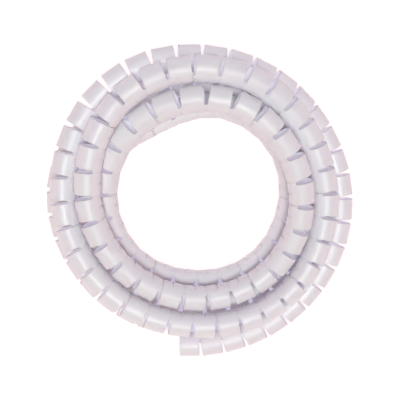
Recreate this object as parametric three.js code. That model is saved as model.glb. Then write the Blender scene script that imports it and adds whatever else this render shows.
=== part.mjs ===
// A slotted polyethylene guard tube, coiled flat for storage. Millimetres, +Z up.
//
// The tube is one extrusion cut crosswise into short rings. Every cut stops short of the inner side of
// the bend, so the rings stay joined by a flexible spine, and a narrow slit opposite the spine lets
// each ring be sprung open round a trunk. The coil rests on its lowest turns, with its axis along Z.
import * as THREE from "three";

// Section of the tube.
const TUBE_OD = 25;
const WALL = 1.4;
const SPINE_HALF_ANGLE = 58; // degrees each side of the innermost line
const SLIT_HALF_ANGLE = 3.5; // degrees each side of the outermost line

// Rings along the tube.
const RING_PITCH = 22;
const SLOT_WIDTH = 1.4;
const RING_LENGTH = RING_PITCH - SLOT_WIDTH;
const HINGE_DEPTH = 0.47 * TUBE_OD; // from the centre line in to the line where the spine bends

// Free end of the tube, where every ring is a piece of its own on a living hinge.
const FREE_RINGS = 14;
const HINGE_WEB_LENGTH = 1; // leaves a 0.4 mm flex line to the next ring
const HINGE_WEB_HALF_ANGLE = 29;

// The nested part of the coil is made in stretches of this many rings.
const RINGS_PER_STRETCH = 4;

// Route of the centre line from the free end inwards: the radius of the coil and the height above the
// floor at every STATION_STEP degrees of winding, with eight stations to a turn.
const START_ANGLE = -100; // where the free end is, measured from +X towards +Y
const STATION_STEP = 45;
const ROUTE = [
  // outer turn: on the floor at its free end, then climbing over the turn beneath it
  [[161, 15], [147.5, 23], [140.5, 23], [135.5, 20.5]],
  [[137.5, 32], [144.5, 40], [139, 46], [130.5, 49.5]],
  // second turn, on top
  [[124.5, 47.5], [125, 43], [120.2, 39], [119, 42.5]],
  [[126, 55.5], [126.8, 59.5], [114.2, 57], [103.2, 50.5]],
  // third turn, on top and then down inside the coil
  [[97.5, 43.5], [96, 39.5], [93, 48.5], [93, 56.5]],
  [[99.8, 59.5], [101, 51], [100.5, 35], [96, 25]],
  // fourth turn, the innermost one
  [[88.5, 18.5], [88, 14], [87.5, 17.5], [91.8, 30.3]],
  [[95.5, 34], [94.5, 20], [116, 14], [121, 12.5]],
  // fifth turn, on the floor under the others, ending at the outside
  [[114.5, 12.5], [116, 12.5], [114, 12.5], [110.8, 12.5]],
  [[115.4, 18], [126, 12.5], [149, 12.5], [147, 12.5]],
  [[140, 12.5]],
].flat();

const OUTER_R = TUBE_OD / 2;
const INNER_R = OUTER_R - WALL;

// Corner angles of the section, from the slit over the top, round the spine and under the bottom.
const SPINE_EDGE = 180 - SPINE_HALF_ANGLE;
const WEB_EDGE = 180 - HINGE_WEB_HALF_ANGLE;
const RING_CORNERS = [40, 75, 105]; // between the slit and the spine, chosen for nearly equal facets
const UPPER_CORNERS = [SLIT_HALF_ANGLE, ...RING_CORNERS, SPINE_EDGE, WEB_EDGE];
const CORNERS = [...UPPER_CORNERS, 180, ...UPPER_CORNERS.map((angle) => 360 - angle).reverse()];
const FACETS = CORNERS.length - 1;
const inFacets = (from, to) => (facet) => CORNERS[facet] >= from && CORNERS[facet + 1] <= to;
const isRing = () => true;
const isSpine = inFacets(SPINE_EDGE, 360 - SPINE_EDGE);
const isHingeWeb = inFacets(WEB_EDGE, 360 - WEB_EDGE);

const radians = THREE.MathUtils.degToRad;

// The route as a curve whose points hold winding angle, radius and height.
const route = new THREE.CatmullRomCurve3(
  ROUTE.map(([radius, height], i) => new THREE.Vector3(i * STATION_STEP, radius, height)),
  false,
  "catmullrom",
  0.5,
);

// A point of the coil at share u of the winding, moved in towards the coil's axis by `depth`, and never
// so low that the tube would dip into the floor.
function coilPoint(u, depth = 0) {
  const station = route.getPoint(u);
  const angle = radians(START_ANGLE + station.x);
  const radius = station.y - depth;
  const height = Math.max(station.z, OUTER_R);
  return new THREE.Vector3(radius * Math.cos(angle), radius * Math.sin(angle), height);
}

// The tube's frame at share u: `out` away from the coil's axis, `up`, and `along` the tube.
const TANGENT_STEP = 1e-4; // share of the winding on each side of u that gives the tube's direction
function coilFrame(u) {
  const centre = coilPoint(u);
  const along = coilPoint(u + TANGENT_STEP, HINGE_DEPTH)
    .sub(coilPoint(u - TANGENT_STEP, HINGE_DEPTH))
    .normalize();
  const out = new THREE.Vector3(centre.x, centre.y, 0).normalize();
  out.addScaledVector(along, -out.dot(along)).normalize();
  const up = new THREE.Vector3().crossVectors(out, along);
  return { centre, out, up, along };
}

// Ring frames at equal steps along the hinge line, which keeps its length when the tube bends.
const ROUTE_SAMPLES = 6000; // one about every half millimetre of tube
function ringFrames() {
  const frames = [];
  let travelled = 0;
  let previous = coilPoint(0, HINGE_DEPTH);
  for (let i = 1; i <= ROUTE_SAMPLES; i++) {
    const point = coilPoint(i / ROUTE_SAMPLES, HINGE_DEPTH);
    const step = point.distanceTo(previous);
    const next = (frames.length + 0.5) * RING_PITCH;
    if (travelled + step >= next) {
      const share = (next - travelled) / step;
      frames.push(coilFrame((i - 1 + share) / ROUTE_SAMPLES));
    }
    travelled += step;
    previous = point;
  }
  if (travelled < frames.length * RING_PITCH) frames.pop(); // a ring cut short by the end of the route
  return frames;
}

// A closed body swept through cross stations. cells[i] says which facets are solid between stations
// i and i + 1, and the faces between a solid cell and an empty one are its surface.
function sweptBody(stations, cells) {
  const positions = [];
  for (const { centre, out, up } of stations)
    for (const radius of [OUTER_R, INNER_R])
      for (const corner of CORNERS) {
        const angle = radians(corner);
        const point = centre
          .clone()
          .addScaledVector(out, radius * Math.cos(angle))
          .addScaledVector(up, radius * Math.sin(angle));
        positions.push(point.x, point.y, point.z);
      }
  const index = [];
  const outer = (s, a) => 2 * s * CORNERS.length + a;
  const inner = (s, a) => outer(s, a) + CORNERS.length;
  const quad = (a, b, c, d) => index.push(a, b, c, a, c, d);
  const solid = (s, f) => s >= 0 && s < cells.length && f >= 0 && f < FACETS && cells[s](f);
  for (let s = 0; s < cells.length; s++)
    for (let f = 0; f < FACETS; f++) {
      if (!solid(s, f)) continue;
      const [t, g] = [s + 1, f + 1];
      quad(outer(s, f), outer(t, f), outer(t, g), outer(s, g));
      quad(inner(s, f), inner(s, g), inner(t, g), inner(t, f));
      if (!solid(s - 1, f)) quad(outer(s, f), outer(s, g), inner(s, g), inner(s, f));
      if (!solid(s + 1, f)) quad(outer(t, f), inner(t, f), inner(t, g), outer(t, g));
      if (!solid(s, f - 1)) quad(outer(s, f), inner(s, f), inner(t, f), outer(t, f));
      if (!solid(s, f + 1)) quad(outer(s, g), outer(t, g), inner(t, g), inner(s, g));
    }
  return compact(positions, index);
}

// Drops the vertices that no face uses.
function compact(positions, index) {
  const kept = [];
  const renumbered = new Map();
  const newIndex = index.map((old) => {
    if (!renumbered.has(old)) {
      renumbered.set(old, renumbered.size);
      kept.push(...positions.slice(3 * old, 3 * old + 3));
    }
    return renumbered.get(old);
  });
  const geometry = new THREE.BufferGeometry();
  geometry.setAttribute("position", new THREE.Float32BufferAttribute(kept, 3));
  geometry.setIndex(newIndex);
  geometry.computeVertexNormals();
  return geometry;
}

// The frame moved by `distance` along its own tube axis.
const shifted = (frame, distance) => ({
  ...frame,
  centre: frame.centre.clone().addScaledVector(frame.along, distance),
});
const ringEnds = (frame) => [shifted(frame, -RING_LENGTH / 2), shifted(frame, RING_LENGTH / 2)];

const polyethylene = () =>
  new THREE.MeshStandardMaterial({ color: 0xf0eef2, roughness: 0.38, metalness: 0, flatShading: true });

// One ring in its own frame, with a hinge web on its inboard end.
function freeRing(frame, name) {
  const own = {
    centre: new THREE.Vector3(),
    out: new THREE.Vector3(1, 0, 0),
    up: new THREE.Vector3(0, 0, 1),
    along: new THREE.Vector3(0, 1, 0),
  };
  const stations = [...ringEnds(own), shifted(own, RING_LENGTH / 2 + HINGE_WEB_LENGTH)];
  const mesh = new THREE.Mesh(sweptBody(stations, [isRing, isHingeWeb]), polyethylene());
  mesh.name = name;
  mesh.position.copy(frame.centre);
  mesh.setRotationFromMatrix(new THREE.Matrix4().makeBasis(frame.out, frame.along, frame.up));
  return mesh;
}

// Several rings of the nested coil with the spine between them.
function coilStretch(frames, name) {
  const origin = frames[Math.floor(frames.length / 2)].centre;
  const stations = frames
    .flatMap(ringEnds)
    .map((station) => ({ ...station, centre: station.centre.clone().sub(origin) }));
  const cells = stations.slice(1).map((_, i) => (i % 2 ? isSpine : isRing));
  const mesh = new THREE.Mesh(sweptBody(stations, cells), polyethylene());
  mesh.name = name;
  mesh.position.copy(origin);
  return mesh;
}

const numbered = (name, i) => name + "_" + String(i + 1).padStart(2, "0");

const coil = new THREE.Group();
const frames = ringFrames();
frames.slice(0, FREE_RINGS).forEach((frame, i) => coil.add(freeRing(frame, numbered("free_ring", i))));
for (let i = 0, first = FREE_RINGS; first < frames.length; i++, first += RINGS_PER_STRETCH)
  coil.add(coilStretch(frames.slice(first, first + RINGS_PER_STRETCH), numbered("coil_stretch", i)));

// The origin is under the middle of the coil, at the floor.
const guardTube = new THREE.Group();
guardTube.add(coil);
guardTube.updateMatrixWorld(true);
const box = new THREE.Box3().setFromObject(coil, true);
const middle = box.getCenter(new THREE.Vector3());
coil.position.set(-middle.x, -middle.y, -box.min.z);

export default guardTube;
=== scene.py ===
import math

import bmesh
import bpy
import numpy as np
from mathutils import Matrix, Vector


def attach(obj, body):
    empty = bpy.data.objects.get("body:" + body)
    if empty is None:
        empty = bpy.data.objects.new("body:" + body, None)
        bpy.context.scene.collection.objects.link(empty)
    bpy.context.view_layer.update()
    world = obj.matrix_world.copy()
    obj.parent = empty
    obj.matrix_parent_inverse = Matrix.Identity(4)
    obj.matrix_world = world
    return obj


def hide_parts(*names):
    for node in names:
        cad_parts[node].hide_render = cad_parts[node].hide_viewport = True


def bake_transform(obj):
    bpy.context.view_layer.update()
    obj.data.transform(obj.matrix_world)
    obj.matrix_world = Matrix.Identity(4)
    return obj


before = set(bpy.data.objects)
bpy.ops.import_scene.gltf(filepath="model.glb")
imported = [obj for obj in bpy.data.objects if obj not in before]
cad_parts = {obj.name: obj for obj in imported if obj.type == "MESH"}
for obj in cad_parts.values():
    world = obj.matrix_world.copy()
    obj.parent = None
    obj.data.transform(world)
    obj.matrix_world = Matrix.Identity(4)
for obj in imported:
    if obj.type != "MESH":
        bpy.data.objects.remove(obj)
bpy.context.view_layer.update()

MM = 0.001

# ---------------------------------------------------------------- the tube, in millimetres, as in the CAD
CAD_R = 12.5
OUTER_R = CAD_R - 0.05  # a hair inside the CAD's corners
WALL = 1.4
INNER_R = OUTER_R - WALL
HINGE_DEPTH = 11.75  # from the centre line in to the line where the spine bends
RING_PITCH = 22.0
RING_HALF = 10.3
SLIT = 3.5  # degrees each side of the outermost line
SPINE = (122.0, 238.0)  # degrees round the section, where the wall runs on across the slots
FREE_RINGS = 14
RINGS_PER_STRETCH = 4

# The route from the free end inwards: radius and height of the centre line at every STATION_STEP degrees.
START_ANGLE = -100.0
STATION_STEP = 45.0
ROUTE = np.array(
    [
        # outer turn: on the floor at its free end, then climbing over the turn beneath it
        (161, 15), (147.5, 23), (140.5, 23), (135.5, 20.5),
        (137.5, 32), (144.5, 40), (139, 46), (130.5, 49.5),
        # second turn, on top
        (124.5, 47.5), (125, 43), (120.2, 39), (119, 42.5),
        (126, 55.5), (126.8, 59.5), (114.2, 57), (103.2, 50.5),
        # third turn, on top and then down inside the coil
        (97.5, 43.5), (96, 39.5), (93, 48.5), (93, 56.5),
        (99.8, 59.5), (101, 51), (100.5, 35), (96, 25),
        # fourth turn, the innermost one
        (88.5, 18.5), (88, 14), (87.5, 17.5), (91.8, 30.3),
        (95.5, 34), (94.5, 20), (116, 14), (121, 12.5),
        # fifth turn, on the floor under the others, ending at the outside
        (114.5, 12.5), (116, 12.5), (114, 12.5), (110.8, 12.5),
        (115.4, 18), (126, 12.5), (149, 12.5), (147, 12.5),
        (140, 12.5),
    ],
    float,
)
ROUTE_SAMPLES = 6000  # one about every half millimetre of tube
SPAN = len(ROUTE) - 1
TANGENT_STEP = 1e-4  # share of the winding on each side that gives the tube's direction


def coil_points(share, depth=0.0):
    """Points of the centre line at shares of the winding, moved in towards the coil's axis by depth."""
    t = np.atleast_1d(share) * SPAN
    i = np.clip(np.floor(t).astype(int), 0, SPAN - 1)
    w = (t - i)[:, None]
    ends = np.vstack([2 * ROUTE[0] - ROUTE[1], ROUTE, 2 * ROUTE[-1] - ROUTE[-2]])
    p0, p1, p2, p3 = ends[i], ends[i + 1], ends[i + 2], ends[i + 3]
    t1 = (p2 - p0) / 2
    t2 = (p3 - p1) / 2
    station = p1 + t1 * w + (3 * (p2 - p1) - 2 * t1 - t2) * w**2 + (2 * (p1 - p2) + t1 + t2) * w**3
    angle = np.radians(START_ANGLE + STATION_STEP * t)
    radius = station[:, 0] - depth
    height = np.maximum(station[:, 1], CAD_R)  # never into the floor
    return np.c_[radius * np.cos(angle), radius * np.sin(angle), height]


def unit(v):
    return v / np.linalg.norm(v)


def coil_frame(share):
    """Centre, and the directions out of the coil, along the tube and up, as a 4 x 3 array."""
    centre = coil_points(share)[0]
    ahead = coil_points(share + TANGENT_STEP, HINGE_DEPTH)[0]
    behind = coil_points(share - TANGENT_STEP, HINGE_DEPTH)[0]
    along = unit(ahead - behind)
    out = unit(centre * (1, 1, 0))
    out = unit(out - along * out.dot(along))
    return np.array([centre, out, along, np.cross(out, along)])


def ring_frames():
    """Frames at equal steps along the hinge line, which keeps its length when the tube bends."""
    shares = np.arange(ROUTE_SAMPLES + 1) / ROUTE_SAMPLES
    line = coil_points(shares, HINGE_DEPTH)
    travelled = np.r_[0, np.cumsum(np.linalg.norm(np.diff(line, axis=0), axis=1))]
    count = int(travelled[-1] // RING_PITCH)
    middles = (np.arange(count) + 0.5) * RING_PITCH
    return [coil_frame(share) for share in np.interp(middles, travelled, shares)]


def cad_offset(frames):
    """What the CAD adds to the route to put its origin under the middle of the coil."""
    upper = [SLIT, 40, 75, 105, SPINE[0], 151]
    corners = upper + [180] + [360 - angle for angle in upper]
    points = []
    for centre, out, along, up in frames:
        for a in np.radians(corners):
            for y in (-RING_HALF, RING_HALF):
                points.append(centre + along * y + CAD_R * (out * math.cos(a) + up * math.sin(a)))
    low = np.min(points, axis=0)
    high = np.max(points, axis=0)
    return np.array([-(low[0] + high[0]) / 2, -(low[1] + high[1]) / 2, -low[2]])


frames = ring_frames()  # a centre and three directions for each ring, from the free end inwards
offset = cad_offset(frames)
for f in frames:
    f[0] += offset

# ---------------------------------------------------------------- camera, above the coil and tipped a little
CAMERA_AT = np.array([-20.4, 78.1, 513.357]) + offset
TIP_ABOUT_Y = -0.03069  # radians
TIP_ABOUT_X = -0.15673
camera_data = bpy.data.cameras.new("camera")
camera_data.lens = 43.72
camera_data.sensor_width = 36
camera = bpy.data.objects.new("camera", camera_data)
bpy.context.scene.collection.objects.link(camera)
camera.matrix_world = (
    Matrix.Translation(Vector(CAMERA_AT * MM))
    @ Matrix.Rotation(TIP_ABOUT_Y, 4, "Y")
    @ Matrix.Rotation(TIP_ABOUT_X, 4, "X")
)
bpy.context.scene.camera = camera

# ---------------------------------------------------------------- ring and spine geometry
ROLL_AND_YAW = (1.2, 0.35)  # standard deviations, in degrees, of how a ring stands out of line
rng = np.random.default_rng(7)
for f in frames:  # rings cut and coiled by hand are never quite in line
    roll, yaw = np.radians(rng.normal(0, ROLL_AND_YAW))
    centre, out, along, up = f.copy()
    rolled = out * math.cos(roll) + up * math.sin(roll)
    turned = unit(along * math.cos(yaw) + rolled * math.sin(yaw))
    rolled = unit(rolled - turned * rolled.dot(turned))
    f[1:] = rolled, turned, np.cross(rolled, turned)

HOLE_AT = 154.0  # a small hole in the wall of the spine, half-way along each ring
HOLE_HALF = 4.0
RELIEF = (166.0, 222.0)  # a short narrow slot across the back of the spine, in line with the hole
NARROW_HALF = 0.8  # half the width of both, along the tube
CORNER_IN = 0.29  # share by which a square's corners move in to lie on the circle inside it
DIMPLE_AT = 131.0  # a shallow dimple just past the front end of each slot
DIMPLE_DEPTH = 0.9
DIMPLE_LENGTH = 0.7
DIMPLE_WIDTH = 0.6
EDGE_ROUNDING = 0.2
SHARP = math.radians(40)  # only edges at least as sharp as this are rounded

# Columns round the section, closer together at the dimple, the hole and the ends of the slots.
THETA = np.array(
    [SLIT, *range(9, 118, 6), SPINE[0], 125, 127, 129, DIMPLE_AT, 133, 135, 138, 142, 146]
    + [HOLE_AT - HOLE_HALF, HOLE_AT, HOLE_AT + HOLE_HALF, 162, RELIEF[0], 170, *range(176, 219, 6)]
    + [RELIEF[1], 227, 232, SPINE[1], *range(244, 353, 6), 360 - SLIT],
    float,
)
END_LINE = RING_HALF - 0.6  # a cross line near each end of a ring, where the dimples have faded out
RING_Y = [-RING_HALF, -END_LINE, -NARROW_HALF, 0.0, NARROW_HALF, END_LINE, RING_HALF]
WEB_STEPS = [0.25, 0.5, 0.75]  # shares of the way across a slot
WEB_FOLD = 0.5  # how far the spine's fold at each slot stands in from the ring's wall
FOLD_FADES = (10.5, 45.5)  # degrees from the innermost line, from the whole fold to none
FOLD_SHARE = np.interp(abs(THETA - 180), FOLD_FADES, (1, 0))


def column(theta):
    return int(np.argmin(abs(THETA - theta)))


COLUMNS = len(THETA)
SPINE_COLUMNS = range(column(SPINE[0]), column(SPINE[1]))
HOLE = column(HOLE_AT)

# Which cells of the wall are solid: in a whole ring, half-way along it, and across a slot.
WHOLE = np.ones(COLUMNS - 1, bool)
PIERCED = WHOLE.copy()
PIERCED[HOLE - 1 : HOLE + 1] = False
PIERCED[column(RELIEF[0]) : column(RELIEF[1])] = False
ACROSS = np.zeros(COLUMNS - 1, bool)
ACROSS[list(SPINE_COLUMNS)] = True


def section(f, y):
    """The points of one cross line of the tube, outer then inner, at y along the ring."""
    centre, out, along, up = f
    theta = THETA.copy()
    ys = np.full(COLUMNS, y)
    if abs(y) == NARROW_HALF:  # the hole's four corners are drawn in to make it round
        theta[HOLE - 1] += HOLE_HALF * CORNER_IN
        theta[HOLE + 1] -= HOLE_HALF * CORNER_IN
        ys[[HOLE - 1, HOLE + 1]] *= 1 - CORNER_IN
    a = np.radians(theta)[:, None]
    ray = out * np.cos(a) + up * np.sin(a)
    base = centre + along * ys[:, None]
    return np.array([base + ray * OUTER_R, base + ray * INNER_R])


def cross_lines(first, last, web):
    """The cross lines of rings first to last, and which cells between one line and the next are solid."""
    lines = []
    solid = []
    for k in range(first, last + 1):
        lines += [section(frames[k], y) for y in RING_Y]
        solid += [PIERCED if -NARROW_HALF <= y < NARROW_HALF else WHOLE for y in RING_Y[:-1]]
        if k < last or web:
            a = section(frames[k], RING_HALF)
            b = section(frames[k + 1], -RING_HALF)
            into_tube = (frames[k][1] + frames[k + 1][1]) / 2
            for t in WEB_STEPS:
                fold = WEB_FOLD * math.sin(math.pi * t) * FOLD_SHARE
                lines.append(a + (b - a) * t + fold[:, None] * into_tube)
            solid += [ACROSS] * (len(WEB_STEPS) + 1)
            if k == last:
                lines.append(b)
    return np.array(lines), solid


def vertex(line, layer, c):
    """The number of the point in column c of a cross line, where layer is 0 outside and 1 inside."""
    return (line * 2 + layer) * COLUMNS + c


def wall_faces(solid):
    """Outer and inner faces of the solid cells, and the faces that close the wall where it ends."""

    def is_solid(s, c):
        return 0 <= s < len(solid) and 0 <= c < COLUMNS - 1 and solid[s][c]

    faces = []
    for s in range(len(solid)):
        for c in range(COLUMNS - 1):
            if not solid[s][c]:
                continue
            cell = [(s, c), (s + 1, c), (s + 1, c + 1), (s, c + 1)]
            outer = [vertex(line, 0, k) for line, k in cell]
            inner = [vertex(line, 1, k) for line, k in cell]
            faces.append(outer)
            faces.append(inner[::-1])
            if not is_solid(s - 1, c):
                faces.append([outer[0], outer[3], inner[3], inner[0]])
            if not is_solid(s + 1, c):
                faces.append([outer[1], inner[1], inner[2], outer[2]])
            if not is_solid(s, c - 1):
                faces.append([outer[0], inner[0], inner[1], outer[1]])
            if not is_solid(s, c + 1):
                faces.append([outer[3], outer[2], inner[2], inner[3]])
    return faces


def rounded_mesh(name, points, faces, square):
    """A mesh with its sharp edges rounded, apart from edges between two points in square."""
    bm = bmesh.new()
    made = [bm.verts.new(Vector(point)) for point in points]
    for face in faces:
        bm.faces.new([made[v] for v in face])
    bm.verts.index_update()
    edges = []
    for edge in bm.edges:
        is_sharp = len(edge.link_faces) == 2 and edge.calc_face_angle(0) >= SHARP
        if is_sharp and not all(v.index in square for v in edge.verts):
            edges.append(edge)
    bmesh.ops.bevel(
        bm, geom=edges, offset=EDGE_ROUNDING, offset_type="OFFSET", segments=2, profile=0.5,
        affect="EDGES", clamp_overlap=True,
    )
    bmesh.ops.delete(bm, geom=[v for v in bm.verts if not v.link_faces], context="VERTS")
    bmesh.ops.recalc_face_normals(bm, faces=bm.faces)
    mesh = bpy.data.meshes.new(name)
    bm.to_mesh(mesh)
    bm.free()
    return mesh


def places_on_tube(points, first, last):
    """Where points lie: along the tube, round it and out from its axis; how far they are from the middle
    of the nearest ring; and the direction out from the tube's axis, as long as they are far from it."""
    nearest = np.full(len(points), np.inf)
    place = np.zeros((len(points), 3))
    outwards = np.zeros((len(points), 3))
    for k in range(first, min(last + 2, len(frames))):
        centre, out, along, up = frames[k]
        x = (points - centre) @ out
        y = (points - centre) @ along
        z = (points - centre) @ up
        closer = abs(y) < nearest
        nearest[closer] = abs(y)[closer]
        round_it = np.arctan2(z, x) % (2 * math.pi) * OUTER_R
        place[closer] = np.c_[k * RING_PITCH + y, round_it, np.hypot(x, z)][closer]
        outwards[closer] = (np.outer(x, out) + np.outer(z, up))[closer]
    return place, nearest, outwards


def dimple_depths(place, nearest):
    """How far each point of the outer skin moves in to make the dimples."""
    from_slot = (RING_PITCH / 2 - nearest) / DIMPLE_LENGTH
    round_from = (place[:, 1] - math.radians(DIMPLE_AT) * OUTER_R) / DIMPLE_WIDTH
    depth = DIMPLE_DEPTH * np.exp(-(from_slot**2) - round_from**2)
    depth[place[:, 2] < OUTER_R - WALL / 2] = 0
    return depth


def finish_surface(mesh, first, last):
    """Presses the dimples in, brings the mesh to metres, and marks each point's place on the tube."""
    points = np.zeros(len(mesh.vertices) * 3)
    mesh.vertices.foreach_get("co", points)
    points = points.reshape(-1, 3)
    place, nearest, outwards = places_on_tube(points, first, last)
    points -= outwards * (dimple_depths(place, nearest) / place[:, 2])[:, None]
    mesh.vertices.foreach_set("co", (points * MM).ravel())
    attribute = mesh.attributes.new("tube", "FLOAT_VECTOR", "POINT")
    attribute.data.foreach_set("vector", place.ravel().astype(np.float32))
    mesh.polygons.foreach_set("use_smooth", np.ones(len(mesh.polygons), bool))
    mesh.update()


def tube_piece(name, first, last, web):
    """Rings first to last as one closed wall with the spine between them. With a web, the spine also
    crosses the slot after the last ring."""
    lines, solid = cross_lines(first, last, web)

    # Edges that meet the next piece of the same wall stay square, so the wall runs on unbroken.
    met = []
    if first > 0:
        met.append(0)
    if web:
        met.append(len(lines) - 1)
    spine_points = range(SPINE_COLUMNS[0], SPINE_COLUMNS[-1] + 2)
    square = {vertex(line, layer, c) for line in met for layer in (0, 1) for c in spine_points}

    mesh = rounded_mesh(name, lines.reshape(-1, 3), wall_faces(solid), square)
    finish_surface(mesh, first, last)
    obj = bpy.data.objects.new(name, mesh)
    bpy.context.scene.collection.objects.link(obj)
    weigh = obj.modifiers.new("weigh", "WEIGHTED_NORMAL")
    weigh.weight = 60
    obj.data = bpy.data.meshes.new_from_object(obj.evaluated_get(bpy.context.evaluated_depsgraph_get()))
    obj.modifiers.clear()
    obj.data.name = name
    return obj


# ---------------------------------------------------------------- materials
class Nodes:
    """Small helper that adds and links the nodes of one material."""

    def __init__(self, name):
        self.material = bpy.data.materials.new(name)
        self.material.use_nodes = True
        self.tree = self.material.node_tree
        self.shader = self.tree.nodes["Principled BSDF"]

    def feed(self, node, inputs):
        """Links each socket in inputs to the node, and sets each plain value on it."""
        for key, value in inputs.items():
            if isinstance(value, bpy.types.NodeSocket):
                self.tree.links.new(value, node.inputs[key])
            else:
                node.inputs[key].default_value = value

    def add(self, kind, inputs=None, **settings):
        node = self.tree.nodes.new(kind)
        for key, value in settings.items():
            setattr(node, key, value)
        self.feed(node, inputs or {})
        return node

    def math(self, operation, a, b=0.0):
        return self.add("ShaderNodeMath", {0: a, 1: b}, operation=operation).outputs[0]

    def total(self, *terms):
        """The sum of (value, factor) pairs."""
        result = 0.0
        for value, factor in terms:
            result = self.math("ADD", result, self.math("MULTIPLY", value, factor))
        return result

    def scaled(self, vector, scale):
        return self.add("ShaderNodeVectorMath", {0: vector, 1: scale}, operation="MULTIPLY").outputs[0]

    def noise(self, vector, detail, roughness):
        inputs = {"Vector": vector, "Scale": 1.0, "Detail": detail, "Roughness": roughness}
        return self.add("ShaderNodeTexNoise", inputs).outputs["Fac"]

    def span(self, value, low, high, to_low=0.0, to_high=1.0):
        inputs = {"Value": value, "From Min": low, "From Max": high, "To Min": to_low, "To Max": to_high}
        return self.add("ShaderNodeMapRange", inputs).outputs[0]

    def mix(self, share, a, b):
        node = self.add("ShaderNodeMix", data_type="RGBA")
        self.feed(node, {0: share, 6: a, 7: b})
        return node.outputs[2]


LIGHT_TONE = (0.86, 0.845, 0.87, 1)
DEEP_TONE = (0.83, 0.81, 0.85, 1)
SCUFF_TONE = (0.76, 0.74, 0.79, 1)
CUT_TONE = (0.80, 0.785, 0.84, 1)
# painted light: the colour of the faint glow painted on the tube's inner skin
PAINTED_INNER_LIGHT_COLOUR = (0.86, 0.83, 1.0, 1)
INNER_GLOW = 0.13  # stands for the light that comes through the thin wall
# How many times each pattern repeats in a millimetre along the tube, round it and out from its axis.
DIE_LINES = (0.012, 1.6, 0.0)
CLOUDS = (0.035, 0.06, 0.1)
GRAIN = (1.7, 1.7, 1.7)
SCUFFS = (0.32, 2.4, 0.3)
SAW_MARKS = (0.4, 0.5, 7.0)
SOAK_DEPTH = 2.0 * MM  # how far light travels inside the plastic
BUMP_DEPTH = 0.12 * MM


def polyethylene():
    """Milky plastic with die lines along the tube, scuffs along them, saw marks on the cut ends, and painted
    light: a faint glow on the inner skin.
    """
    n = Nodes("milky_polyethylene")
    place = n.add("ShaderNodeAttribute", attribute_name="tube", attribute_type="GEOMETRY").outputs["Vector"]
    along, _, radius = n.add("ShaderNodeSeparateXYZ", {0: place}).outputs

    die_lines = n.noise(n.scaled(place, DIE_LINES), detail=4.0, roughness=0.65)
    cloud = n.noise(n.scaled(place, CLOUDS), detail=3.0, roughness=0.55)
    grain = n.noise(n.scaled(place, GRAIN), detail=3.0, roughness=0.6)
    scuffed = n.span(n.noise(n.scaled(place, SCUFFS), detail=5.0, roughness=0.7), 0.62, 0.78)
    from_ring_middle = n.math("PINGPONG", along, RING_PITCH / 2)
    cut = n.span(from_ring_middle, RING_HALF - 0.25, RING_HALF - 0.05)
    saw_marks = n.math("MULTIPLY", n.noise(n.scaled(place, SAW_MARKS), detail=2.0, roughness=0.5), cut)

    tone = n.mix(n.span(cloud, 0.32, 0.68), LIGHT_TONE, DEEP_TONE)
    tone = n.mix(n.math("MULTIPLY", scuffed, 0.22), tone, SCUFF_TONE)
    tone = n.mix(n.math("MULTIPLY", cut, 0.5), tone, CUT_TONE)
    rough = n.total((n.span(cloud, 0.3, 0.7, 0.35, 0.43), 1.0), (scuffed, 0.16), (cut, 0.18))
    rough = n.math("ADD", rough, n.span(die_lines, 0.3, 0.7, -0.03, 0.03))
    height = n.total((die_lines, 0.6), (cloud, 2.0), (grain, 0.10), (saw_marks, 0.8), (scuffed, -0.12))
    bump = n.add("ShaderNodeBump", {"Height": height, "Strength": 0.55, "Distance": BUMP_DEPTH})
    n.feed(
        n.shader,
        {
            "Base Color": tone,
            "Roughness": rough,
            "Normal": bump.outputs[0],
            "IOR": 1.51,
            "Specular IOR Level": 0.5,
            "Subsurface Weight": 1.0,
            "Subsurface Radius": (1.0, 0.9, 1.0),
            "Subsurface Scale": SOAK_DEPTH,
            # painted light: the inner skin glows faintly, for the light that comes through the thin wall
            "Emission Color": PAINTED_INNER_LIGHT_COLOUR,
            "Emission Strength": n.span(radius, INNER_R + 0.1, INNER_R + 0.5, INNER_GLOW, 0.0),
        },
    )
    return n.material


plastic = polyethylene()


def finish_piece(obj, node):
    obj.data.materials.clear()
    obj.data.materials.append(plastic)
    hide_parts(node)


for k in range(FREE_RINGS):
    node = f"free_ring_{k + 1:02d}"
    ring = tube_piece(f"guard_ring_{k + 1:02d}", k, k, True)
    finish_piece(ring, node)
    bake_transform(ring)

# ---------------------------------------------------------------- the nested coil
for i, first in enumerate(range(FREE_RINGS, len(frames), RINGS_PER_STRETCH)):
    last = min(first + RINGS_PER_STRETCH, len(frames)) - 1
    stretch = tube_piece(f"guard_coil_{i + 1:02d}", first, last, last + 1 < len(frames))
    finish_piece(stretch, f"coil_stretch_{i + 1:02d}")
    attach(stretch, "coil")

# ---------------------------------------------------------------- floor: a light table, its glow dimmer under the coil as painted shade
FLOOR_Z = -0.5 * MM
FLOOR_HALF = 6.0
FLOOR_GREY = (0.12, 0.12, 0.12, 1)
OPEN_GLOW = (1.03, 0.92, 0.92, 1)
# painted shade: the floor's glow is dim and lavender under the coil, where the coil's shade falls, and lights
# the gaps between the turns from beneath
SHADED_GLOW = (0.52, 0.49, 0.64, 1)
# The dim ring of painted shade under the coil, its inner and outer edge: its middle, from the coil's axis,
# and the radii that it fades between.
INNER_EDGE = (np.array([-6.0, 1.5, 0.0]), 88, 96)
OUTER_EDGE = (np.array([0.0, -12.0, 0.0]), 138, 147)


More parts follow.
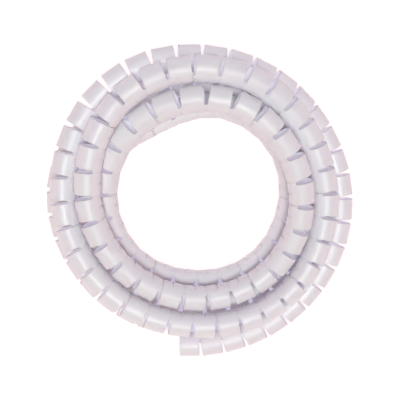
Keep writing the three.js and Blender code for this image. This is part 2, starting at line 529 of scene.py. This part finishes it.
def floor_material():
    n = Nodes("pale_floor")
    where = n.add("ShaderNodeNewGeometry").outputs["Position"]

    def fade(edge, inside, outside):
        middle, begin, end = edge
        from_middle = {0: where, 1: tuple((offset + middle) * MM * (1, 1, 0))}
        flat = n.add("ShaderNodeVectorMath", from_middle, operation="SUBTRACT").outputs[0]
        flat = n.scaled(flat, (1, 1, 0))
        distance = n.add("ShaderNodeVectorMath", {0: flat}, operation="LENGTH").outputs["Value"]
        return n.span(distance, begin * MM, end * MM, inside, outside)

    # painted shade: the glow is full in the hole and outside the coil, and dim under it
    is_open = n.math("MAXIMUM", fade(INNER_EDGE, 1.0, 0.0), fade(OUTER_EDGE, 0.0, 1.0))
    n.feed(
        n.shader,
        {
            "Base Color": FLOOR_GREY,
            "Roughness": 0.9,
            "Specular IOR Level": 0.1,
            "Emission Color": n.mix(is_open, SHADED_GLOW, OPEN_GLOW),
            "Emission Strength": 1.0,
        },
    )
    return n.material


def floor():
    bm = bmesh.new()
    bmesh.ops.create_grid(bm, x_segments=8, y_segments=8, size=FLOOR_HALF)
    mesh = bpy.data.meshes.new("floor")
    bm.to_mesh(mesh)
    bm.free()
    mesh.materials.append(floor_material())
    obj = bpy.data.objects.new("floor", mesh)
    bpy.context.scene.collection.objects.link(obj)
    obj.location.z = FLOOR_Z


floor()


# ---------------------------------------------------------------- light, in metres and watts
LIT_POINT = Vector((0, 0, 0.03))


def area_light(name, at, size, power, colour):
    data = bpy.data.lights.new(name, "AREA")
    data.shape = "DISK"
    data.size = size
    data.energy = power
    data.color = colour
    obj = bpy.data.objects.new(name, data)
    obj.location = at
    obj.rotation_euler = (LIT_POINT - Vector(at)).to_track_quat("-Z", "Y").to_euler()
    obj.visible_camera = False
    bpy.context.scene.collection.objects.link(obj)


area_light("overhead", (-0.02, -0.12, 1.5), 0.65, 15.2, (0.94, 1.0, 0.96))
area_light("low_left", (-1.6, -0.2, 0.5), 1.0, 2.8, (1.0, 0.20, 0.12))
area_light("low_front", (0.3, -1.6, 0.5), 1.0, 2.2, (1.0, 0.24, 0.14))
area_light("low_right", (1.6, -0.2, 0.5), 1.0, 2.8, (1.0, 0.22, 0.18))
area_light("low_back", (0.0, 1.7, 0.5), 1.0, 1.6, (0.75, 0.30, 1.0))

SKY_COLOUR = (0.97, 0.91, 1.0, 1)
# The sky is palest at the horizon: height of the direction, and brightness, there and above.
PALE_SKY = {"From Min": 0.04, "From Max": 0.30, "To Min": 0.60, "To Max": 0.13}


def sky():
    world = bpy.data.worlds.new("studio")
    bpy.context.scene.world = world
    world.use_nodes = True
    tree = world.node_tree
    background = tree.nodes["Background"]
    background.inputs["Color"].default_value = SKY_COLOUR
    direction = tree.nodes.new("ShaderNodeTexCoord")
    height = tree.nodes.new("ShaderNodeSeparateXYZ")
    brightness = tree.nodes.new("ShaderNodeMapRange")
    for key, value in PALE_SKY.items():
        brightness.inputs[key].default_value = value
    tree.links.new(direction.outputs["Generated"], height.inputs[0])
    tree.links.new(height.outputs["Z"], brightness.inputs["Value"])
    tree.links.new(brightness.outputs[0], background.inputs["Strength"])


sky()
bpy.context.scene.view_settings.view_transform = "Standard"
